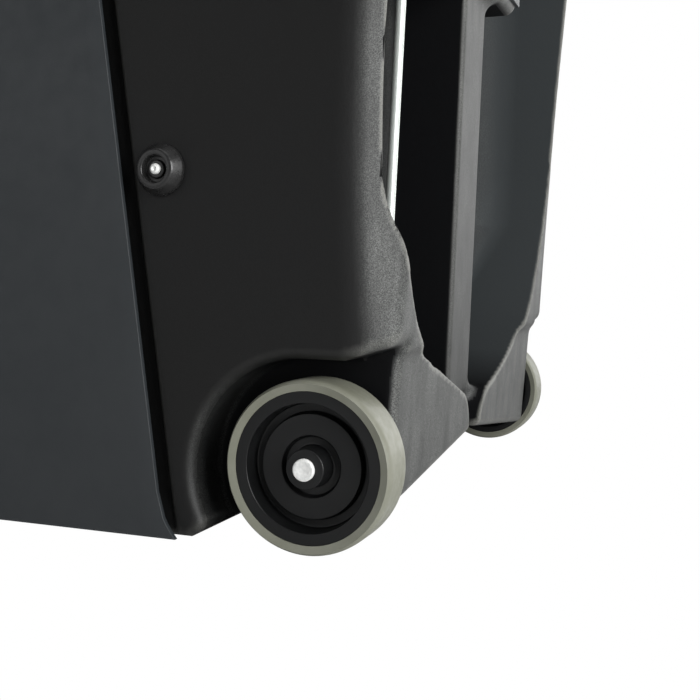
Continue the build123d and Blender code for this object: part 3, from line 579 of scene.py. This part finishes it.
def value_and_slope(field, points, small):
    """The field at each point, and how fast it grows along each axis."""
    value = field(points[:, 0], points[:, 1], points[:, 2])
    slope = np.zeros_like(points)
    for axis in range(3):
        ahead = points.copy()
        ahead[:, axis] += small
        slope[:, axis] = (field(ahead[:, 0], ahead[:, 1], ahead[:, 2]) - value) / small
    return value, slope


def settle_on_surface(points, field, step):
    """Moves points along the field's slope until they lie on the surface."""
    for _ in range(3):
        value, slope = value_and_slope(field, points, step * 0.05)
        length = np.maximum((slope ** 2).sum(axis=1), 0.2)
        move = slope * (value / length)[:, None]
        reach = np.linalg.norm(move, axis=1)
        limit = np.minimum(1, 0.5 * step / np.maximum(reach, 1e-9))
        points = points - move * limit[:, None]
    return points


def implicit_object(name, field, low, high, step):
    points, faces = surface_net(field, low, high, step)
    mesh = bpy.data.meshes.new(name)
    mesh.vertices.add(len(points))
    mesh.vertices.foreach_set("co", points.astype(np.float32).ravel())
    mesh.loops.add(faces.size)
    mesh.loops.foreach_set("vertex_index", faces.astype(np.int32).ravel())
    mesh.polygons.add(len(faces))
    mesh.polygons.foreach_set("loop_start", np.arange(0, faces.size, 4, dtype=np.int32))
    mesh.update(calc_edges=True)
    mesh.validate()
    return add_object(name, mesh)


# ================================================================== rear moulding
def seam_plane(y, z):
    """Positive in front of the leaning seam."""
    return (seam_foot_y - y) * math.cos(seam_lean) - z * math.sin(seam_lean)


def channel_field(x, y, z):
    """Negative inside a channel or the slot between the legs. The right channel is narrower."""
    ax = np.abs(x)
    outer_x, arc_radius, arc_z, kink_x = (
        np.where(x > 0, a, b) for a, b in zip(left_channel, right_channel)
    )
    centre_x = outer_x - arc_radius
    from_arc = np.sqrt((ax - centre_x) ** 2 + (z - arc_z) ** 2) - arc_radius
    above = np.where(z > arc_z, ax - outer_x, from_arc)
    bowl = np.where((ax < centre_x) & (z < arc_z), arc_z - arc_radius - z, above)
    kink_z = arc_z - np.sqrt(arc_radius ** 2 - (kink_x - centre_x) ** 2)
    run = kink_x - slot_half_width
    rise = kink_z - channel_inner_z
    length = np.hypot(run, rise)
    under_line = (rise * (ax - slot_half_width) - run * (z - channel_inner_z)) / length
    wedge = round_both(under_line, ax - kink_x, channel_bend_edge)
    wedge = np.maximum(wedge, z - arc_z)
    left_region = round_either(bowl, wedge, left_channel_bend)
    right_region = round_both(bowl, under_line, right_channel_bend)
    region = np.where(x > 0, left_region, right_region)
    slot = np.maximum(ax - slot_half_width, z - slot_top_z)
    region = round_either(region, slot, slot_join)
    growth = np.clip((z - channel_root_z) / channel_root_span, 0, 1)
    root = channel_root[0] + channel_root[1] * growth
    return round_both(region, channel_floor_y - y, root)


def rib_field(ax, y, z):
    """Centre rib, the console above it and their joins with the channel floor."""
    rear = y - (rib_rear_y + rib_rear_slope * (z - rib_rear_base_z))
    rib = round_both(ax - rib_half_width, rear, 0.004)
    rib = round_both(rib, rib_bottom_z - z, 0.008)
    rib = np.maximum(rib, z - console_bottom_z - 0.02)
    console = round_both(ax - console_half_width, y - console_rear_y, 0.008)
    console = round_both(console, console_bottom_z - z, 0.010)
    console = np.maximum(console, z - body_top)
    return round_either(rib, console, 0.012)


def corner_field(ax, y, z):
    """Negative in front of the sloping faces that cut the two rear side corners."""
    edge_y = corner_waist_y + (z - corner_waist_z) ** 2 / (2 * corner_curve_radius)
    beyond = y - edge_y - corner_slope * (body_half_width - ax)
    return beyond / math.hypot(1, corner_slope)


def rear_field(y, z):
    """Negative in front of the leaning back, which steps forward at the legs."""
    back = (y - rear_y_low) * math.cos(rear_lean) - (z - rear_low_z) * math.sin(rear_lean)
    step = leg_step * 0.5 * (1 - np.tanh((z - leg_step_z) / leg_step_blend))
    return back + step


def well_field(ax, y, z, grow=0.0, x_inner=well_depth_x):
    """Negative in the room for a wheel, open to the side, the back and the ground."""
    from_centre = np.sqrt((y - well_centre_y) ** 2 + (z - well_centre_z) ** 2)
    round_part = from_centre - well_radius - grow
    rising = np.maximum(y - axle_y - well_ceiling_run, 0)
    ceiling = well_centre_z + well_radius + grow + well_ceiling_slope * rising
    back_part = np.maximum(well_centre_y - y, z - ceiling)
    opening = np.minimum(round_part, back_part)
    return round_both(opening, x_inner - ax, 0.004)


def rear_case_field(x, y, z):
    ax = np.abs(x)
    case = round_both(ax - body_half_width, corner_field(ax, y, z), case_edge)
    case = round_both(case, rear_field(y, z), back_edge)
    leg_underside = leg_bottom_z + leg_bottom_slope * (well_depth_x - ax)
    leg_underside = np.maximum(leg_underside, leg_bottom_z)
    leg_underside = np.where(y > channel_floor_y, leg_underside, leg_bottom_z)
    bottom_line = case_bottom + bottom_rise * (y - bottom_rise_y)
    bottom_line = np.clip(bottom_line, case_bottom, leg_underside)
    case = round_both(case, bottom_line - z, case_edge)
    case = round_both(case, z - body_top, case_edge)
    case = cut_away(case, channel_field(x, y, z), channel_edge)
    rib = np.maximum(rib_field(ax, y, z), channel_floor_y - 0.003 - y)
    case = round_either(case, rib, rib_root)
    case = cut_away(case, well_field(ax, y, z), well_edge)
    groove_depth = seam_groove_depth * np.clip((z - groove_foot_z) / seam_blend, 0, 1)
    groove = np.maximum(-seam_plane(y, z) - seam_groove_width, body_half_width - groove_depth - ax)
    case = cut_away(case, groove, groove_edge)
    case = np.maximum(case, -cavity_field(ax, y, z))
    return np.maximum(case, seam_plane(y, z) - seam_overlap)


def cavity_field(ax, y, z):
    """Negative in the hollow of the case, the console behind the panel and the panel's opening."""
    near_seam = np.clip(1 - (-seam_plane(y, z) - seam_groove_width) / seam_blend, 0, 1)
    cavity = ax - body_half_width + wall + seam_groove_depth * near_seam
    cavity = np.maximum(cavity, base_z - z)
    cavity = np.maximum(cavity, y - channel_floor_y + wall)
    lined_well = well_field(ax, y, z, wall + well_lining, well_depth_x - wall)
    cavity = np.maximum(cavity, -lined_well)
    pocket = np.maximum(ax - console_half_width + wall, slab(z, console_floor_z, body_top - wall))
    pocket = np.maximum(pocket, y - console_rear_y + wall)
    cavity = np.minimum(cavity, np.maximum(pocket, console_pocket_y - y))
    opening = np.maximum(slab(z, *panel_opening_z), panel_opening_y - y)
    return np.minimum(cavity, np.maximum(ax - panel_opening_half_width, opening))


def make_rear_moulding():
    step = ((0.0017, 0.0017, 0.003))
    made = implicit_object("rear_moulding", rear_case_field, body_low, body_high, step)
    dress(made, "moulded_black", "case", "rear_body", sharp=None)
    made.data.materials.append(painted_shade_black)
    # Inside the outer skin all faces get the black with weak specular reflection, painted shade for
    # the recesses, apart from the scuffed and lit back.
    for face in made.data.polygons:
        lit_scuffed_back = face.normal.y > 0.25 and face.center.y > 0.148
        if abs(face.center.x) < body_half_width - case_edge and not lit_scuffed_back:
            face.material_index = 1
    return made


make_rear_moulding()


# ================================================================== wheels
def make_tyre(side, wheel):
    half = wheel_width / 2
    bead = half * 0.93
    shoulder = 0.0020
    tread = []
    for step in range(25):
        share = -1 + 2 * step / 24
        height = wheel_radius - shoulder * abs(share) ** 8
        tread.append((half * share, height))
    outline = tread + [(bead, hub_radius), (-bead, hub_radius)]
    centre = (side * wheel_centre.x, axle_y, axle_z)
    made = turned(wheel + "_tyre_look", outline, centre, (side, 0, 0), 160)
    return dress(made, "tyre_grey", wheel, wheel + "_tyre")


def make_hub(side, wheel):
    """Boss, two stepped recesses and a rim on the outer side, and one recess on the inner side."""
    half = wheel_width / 2
    boss_face = hub_high.x - wheel_centre.x
    bore = 0.00505
    corners = [
        (-half, bore), (boss_face, bore), (boss_face, 0.0114), (0.003, 0.0118),
        (0.003, 0.0172), (0.0078, 0.0176), (0.0074, 0.0302), (0.0015, 0.0306),
        (0.0015, 0.0362), (0.0145, 0.0368), (0.0145, hub_radius), (-0.0145, hub_radius),
        (-0.0145, 0.038), (-0.004, 0.038), (-0.004, 0.014), (-half, 0.014),
    ]
    radii = [
        0.0001, 0.0003, 0.0009, 0.0012, 0.0012, 0.0010, 0.0007, 0.0012,
        0.0012, 0.0007, 0.0004, 0.0004, 0.0006, 0.001, 0.001, 0.0006,
    ]
    outline = rounded_corners(corners, radii)
    centre = (side * wheel_centre.x, axle_y, axle_z)
    made = turned(wheel + "_hub_look", outline, centre, (side, 0, 0), 128)
    return dress(made, "hub_black", wheel, wheel + "_hub")


for wheel_side, wheel_name in ((1, "left_wheel"), (-1, "right_wheel")):
    make_tyre(wheel_side, wheel_name)
    make_hub(wheel_side, wheel_name)


# ================================================================== front shell
window_low, window_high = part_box("window_bezel")
shell_wall = 0.0032
shell_corner = 0.035
shell_kick = 0.0085
shell_kick_height = 0.024
window_inset = 0.012             # from the edge of the bezel to the opening


def shell_rear_y(z):
    """Rear edge of the shell: the leaning seam, kicked back a little at the very bottom."""
    kick = shell_kick * max(0.0, 1 - (z - case_bottom) / shell_kick_height) ** 2
    return seam_foot_y - math.tan(seam_lean) * z + kick


def make_front_shell():
    """A bent sheet from seam to seam, with its ball window left open."""
    half = shell_high.x
    front = shell_low.y
    opening_x = window_high.x - window_inset
    opening_z = (window_low.z + window_inset, window_high.z - window_inset)
    levels = sorted(
        [case_bottom + 0.012 * (step / 6) ** 2 for step in range(7)]
        + [0.03 + (body_top - 0.03) * step / 40 for step in range(41)]
        + list(opening_z)
    )
    front_xs = [half - shell_corner, 0.15, opening_x, 0.03, -0.03, -opening_x, -0.15]
    side_steps = 14
    corner_steps = 12
    rows = []
    for z in levels:
        row = []
        rear = shell_rear_y(z)
        for step in range(side_steps):
            row.append((half, rear + (front + shell_corner - rear) * step / side_steps, z))
        for step in range(corner_steps):
            turn = math.pi / 2 * step / corner_steps
            row.append((
                half - shell_corner + shell_corner * math.cos(turn),
                front + shell_corner - shell_corner * math.sin(turn), z,
            ))
        for x in front_xs:
            row.append((x, front, z))
        mirrored = [(-x, y, z) for x, y, z in reversed(row[:side_steps + corner_steps])]
        rows.append(row + [(-half + shell_corner, front, z)] + mirrored)
    width = len(rows[0])
    points = [point for row in rows for point in row]
    faces = []
    for upper in range(1, len(rows)):
        for column in range(1, width):
            corners = (
                (upper - 1) * width + column - 1, (upper - 1) * width + column,
                upper * width + column, upper * width + column - 1,
            )
            middle = sum((Vector(points[corner]) for corner in corners), Vector()) / 4
            in_window = (
                middle.y < front + 0.001 and abs(middle.x) < opening_x
                and opening_z[0] < middle.z < opening_z[1]
            )
            if not in_window:
                faces.append(corners)
    made = mesh_object("front_shell_look", points, faces)
    thick = made.modifiers.new("wall", "SOLIDIFY")
    thick.thickness = shell_wall
    thick.offset = -1
    edges = made.modifiers.new("edges", "BEVEL")
    edges.width = 0.0011
    edges.segments = 3
    edges.limit_method = "ANGLE"
    edges.angle_limit = math.radians(50)
    return dress(made, "shell_blue_grey", "case", "front_shell")


make_front_shell()


# ================================================================== small turned pieces
def make_bumper(side, name):
    base_radius = (bumper_high.z - bumper_low.z) / 2
    height = bumper_height
    corners = [
        (0, 0.0026), (0, base_radius), (0.0022, base_radius), (height, 0.0112),
        (height, 0.0080), (height - 0.0050, 0.0074), (height - 0.0050, 0.0052),
        (height - 0.0030, 0.0050), (height - 0.0030, 0.0026),
    ]
    radii = [0, 0, 0.0012, 0.0022, 0.0010, 0.0006, 0.0006, 0.0006, 0]
    outline = rounded_corners(corners, radii)
    centre = (side * body_half_width, bumper_centre_y, bumper_centre_z)
    made = turned(name, outline, centre, (side, 0, 0), 96)
    return dress(made, "black_rubber", "case", "side_bumpers")


def make_bumper_screw(side, name):
    seat = bumper_height - 0.0030
    corners = [
        (-0.009, 0.0001), (-0.009, 0.0024), (seat, 0.0024), (seat, 0.0032),
        (seat + 0.0018, 0.0030), (seat + 0.0026, 0.0016), (seat + 0.0020, 0.0010),
        (seat + 0.0012, 0.0001),
    ]
    outline = rounded_corners(corners, [0, 0.0003, 0, 0.0003, 0.0008, 0.0003, 0.0003, 0])
    centre = (side * body_half_width, bumper_centre_y, bumper_centre_z)
    made = turned(name, outline, centre, (side, 0, 0), 48)
    return dress(made, "zinc", "case", "bumper_screws")


def make_axle_cap(side, name):
    radius = (cap_high.z - cap_low.z) / 2
    length = 0.0026
    corners = [
        (-length, 0.0001), (-length, radius), (0, radius), (-0.0003, 0.0034), (-0.0006, 0.0001)
    ]
    outline = rounded_corners(corners, [0, 0.0004, 0.0009, 0.0006, 0])
    made = turned(name, outline, (side * cap_high.x, axle_y, axle_z), (side, 0, 0), 64)
    return dress(made, "zinc", "case", "axle_caps")


for fitting_side, side_name in ((1, "left"), (-1, "right")):
    make_bumper(fitting_side, side_name + "_bumper_look")
    make_bumper_screw(fitting_side, side_name + "_bumper_screw_look")
    make_axle_cap(fitting_side, side_name + "_axle_cap_look")


# ================================================================== handle
def swept_bar(name, path, radius, segments=24):
    """A round bar along a path of points, closed at both ends."""
    points = []
    previous = None
    for number, point in enumerate(path):
        ahead = path[min(number + 1, len(path) - 1)] - path[max(number - 1, 0)]
        ahead = ahead.normalized()
        across = ahead.orthogonal() if previous is None else previous - ahead * previous.dot(ahead)
        across = across.normalized()
        previous = across
        third = ahead.cross(across)
        for step in range(segments):
            angle = 2 * math.pi * step / segments
            points.append(point + (across * math.cos(angle) + third * math.sin(angle)) * radius)
    faces = ring_faces(len(path), segments, closed=False)
    faces.append(tuple(reversed(range(segments))))
    faces.append(tuple(range(len(points) - segments, len(points))))
    made = mesh_object(name, points, faces)
    fix_normals(made)
    return made


handle_lean = math.radians(2.0)
rods_low, rods_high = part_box("handle_rods")
grip_low, grip_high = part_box("handle_grip")
rod_radius = 0.0035
bend_radius = 0.024
handle_up = Vector((0, math.sin(handle_lean), math.cos(handle_lean)))
grip_centre = (grip_low + grip_high) / 2


def make_handle_rods():
    rod_x = rods_high.x - rod_radius
    top = Vector((0, grip_centre.y, grip_centre.z))
    length = (rods_high.z - rods_low.z - rod_radius) / math.cos(handle_lean) - 0.0005
    right = []
    right.append(top + Vector((rod_x, 0, 0)) - handle_up * length)
    right.append(top + Vector((rod_x, 0, 0)) - handle_up * (length / 2))
    for step in range(13):
        turn = math.pi / 2 * step / 12
        right.append(
            top + Vector((rod_x - bend_radius + bend_radius * math.cos(turn), 0, 0))
            - handle_up * (bend_radius - bend_radius * math.sin(turn))
        )
    left = [Vector((-point.x, point.y, point.z)) for point in reversed(right)]
    made = swept_bar("handle_rods_look", right + left, rod_radius)
    return dress(made, "polished_aluminium", "handle", "handle_rods")


def make_handle_grip():
    half = grip_high.x
    radius = (grip_high.y - grip_low.y) / 2
    outline = [(-half, rod_radius), (-half, radius - 0.003)]
    steps = 120
    for step in range(steps + 1):
        share = -1 + 2 * step / steps
        end_round = 0.003 * max(0.0, (abs(share) - 0.96) / 0.04) ** 2
        ridge = 0.0006 * (1 - math.cos(step * math.pi / 3)) / 2 if abs(share) < 0.9 else 0
        outline.append((half * share * 0.998, radius - end_round - ridge))
    outline += [(half, radius - 0.003), (half, rod_radius)]
    made = turned("handle_grip_look", outline, grip_centre, (1, 0, 0), 64)
    return dress(made, "black_rubber", "handle", "handle_grip")


make_handle_rods()
make_handle_grip()


# ================================================================== hopper
def tub_ring(half_x, front_y, rear_y, z, power=14.0, count=192):
    """One level of a four-sided tub with rounded corners."""
    centre_y = (front_y + rear_y) / 2
    half_y = (rear_y - front_y) / 2
    ring = []
    for step in range(count):
        angle = 2 * math.pi * step / count
        across = abs(math.cos(angle) / half_x) ** power
        along = abs(math.sin(angle) / half_y) ** power
        reach = (across + along) ** (-1 / power)
        ring.append((reach * math.cos(angle), centre_y + reach * math.sin(angle), z))
    return ring


def make_hopper():
    low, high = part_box("ball_hopper")
    thickness = 0.003
    rim = 0.008
    hole_y = (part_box("carousel_bowl")[0].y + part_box("carousel_bowl")[1].y) / 2
    hole_radius = 0.131
    base = (0.190, hole_y - 0.137, 0.092)
    top = (high.x - rim, low.y + rim, high.y - rim)

    def level(share, inset, z):
        sizes = [a + (b - a) * share for a, b in zip(base, top)]
        return tub_ring(sizes[0] - inset, sizes[1] + inset, sizes[2] - inset, z)

    def hole(z):
        return tub_ring(hole_radius, hole_y - hole_radius, hole_y + hole_radius, z, power=2.0)

    height = high.z - low.z
    rings = [hole(low.z), level(0, 0.004, low.z), level(0, 0.001, low.z + 0.001)]
    for step in range(1, 9):
        share = step / 8
        rings.append(level(share, 0, low.z + (height - 0.004) * share))
    rings.append(level(1, -rim + 0.0004, high.z - 0.0042))
    rings.append(level(1, -rim, high.z - 0.0034))
    rings.append(level(1, -rim, high.z - 0.0010))
    rings.append(level(1, -rim + 0.0010, high.z))
    rings.append(level(1, thickness - 0.0010, high.z))
    rings.append(level(1, thickness, high.z - 0.0012))
    for step in range(7, -1, -1):
        share = step / 8
        rings.append(level(share, thickness, low.z + thickness + (height - 0.007) * share))
    rings.append(level(0, thickness + 0.004, low.z + thickness))
    rings.append(hole(low.z + thickness))
    points = [point for ring in rings for point in ring]
    made = mesh_object("ball_hopper_look", points, ring_faces(len(rings), len(rings[0])))
    fix_normals(made)
    return dress(made, "moulded_black", "hopper", "ball_hopper")


make_hopper()


# ================================================================== finishes of the CAD nodes
for node_name, node_object in frame["nodes"].items():
    if node_object.hide_render:
        continue
    node_object.data.materials.clear()
    node_object.data.materials.append(finishes[node_slots[node_name]])
    soften(node_object)


# ================================================================== stage
def make_floor():
    """A plain pale floor that shows pure white to the camera and still bounces light."""
    mesh = bpy.data.meshes.new("floor")
    reach = 12
    corners = [(-reach, -reach, 0), (reach, -reach, 0), (reach, reach, 0), (-reach, reach, 0)]
    mesh.from_pydata(corners, [], [(0, 1, 2, 3)])
    floor = add_object("floor", mesh)
    made = bpy.data.materials.new("floor")
    made.use_nodes = True
    tree = made.node_tree
    tree.nodes.clear()
    out = tree.nodes.new("ShaderNodeOutputMaterial")
    pale = tree.nodes.new("ShaderNodeBsdfDiffuse")
    pale.inputs["Color"].default_value = (0.8, 0.8, 0.8, 1)
    white = tree.nodes.new("ShaderNodeEmission")
    white.inputs["Strength"].default_value = 1
    path = tree.nodes.new("ShaderNodeLightPath")
    mix = tree.nodes.new("ShaderNodeMixShader")
    tree.links.new(path.outputs["Is Camera Ray"], mix.inputs[0])
    tree.links.new(pale.outputs[0], mix.inputs[1])
    tree.links.new(white.outputs[0], mix.inputs[2])
    tree.links.new(mix.outputs[0], out.inputs[0])
    mesh.materials.append(made)


def make_world():
    world = bpy.data.worlds.new("studio")
    bpy.context.scene.world = world
    world.use_nodes = True
    tree = world.node_tree
    background = tree.nodes["Background"]
    path = tree.nodes.new("ShaderNodeLightPath")
    colour = tree.nodes.new("ShaderNodeMix")
    colour.data_type = "RGBA"
    colour.inputs[6].default_value = (0.07, 0.073, 0.076, 1)
    colour.inputs[7].default_value = (1, 1, 1, 1)
    tree.links.new(path.outputs["Is Camera Ray"], colour.inputs[0])
    tree.links.new(colour.outputs[2], background.inputs["Color"])
    background.inputs["Strength"].default_value = 1


def add_light(name, place, target, size, power):
    """A rectangular softbox that the camera does not see."""
    data = bpy.data.lights.new(name, "AREA")
    data.shape = "RECTANGLE"
    data.size, data.size_y = size
    data.energy = power
    made = add_object(name, data)
    made.location = place
    made.rotation_euler = (Vector(target) - Vector(place)).to_track_quat("-Z", "Y").to_euler()
    made.visible_camera = False


def make_camera():
    """Low, close, from the machine's left and a little behind."""
    eye = Vector((0.7747, 0.3416, 0.1562))
    yaw = math.radians(19.68)
    pitch = math.radians(3.98)
    roll = math.radians(1.03)
    ahead = Vector((
        -math.cos(yaw) * math.cos(pitch), -math.sin(yaw) * math.cos(pitch), -math.sin(pitch)
    ))
    right = ahead.cross(Vector((0, 0, 1))).normalized()
    up = right.cross(ahead)
    rolled_right = right * math.cos(roll) + up * math.sin(roll)
    rolled_up = up * math.cos(roll) - right * math.sin(roll)
    data = bpy.data.cameras.new("camera")
    data.sensor_width = 36
    data.lens = 52.46
    data.clip_start = 0.02
    made = add_object("camera", data)
    turn = Matrix((rolled_right, rolled_up, -ahead)).transposed().to_4x4()
    made.matrix_world = Matrix.Translation(eye) @ turn
    bpy.context.scene.camera = made


make_floor()
make_world()
middle = (0, 0, 0.25)
rear_corner = (0.2, 0.17, 0.2)
add_light("rear_softbox", (-1.9, 1.15, 0.75), rear_corner, (1.2, 1.6), 17)
add_light("right_softbox", (1.05, 1.95, 0.75), rear_corner, (1.3, 1.5), 56)
add_light("top_softbox", (0.1, 0.2, 2.4), middle, (1.6, 1.8), 16)
add_light("front_fill", (2.2, -1.2, 0.9), middle, (1.6, 1.6), 6.5)
make_camera()
bpy.context.scene.view_settings.view_transform = "Standard"
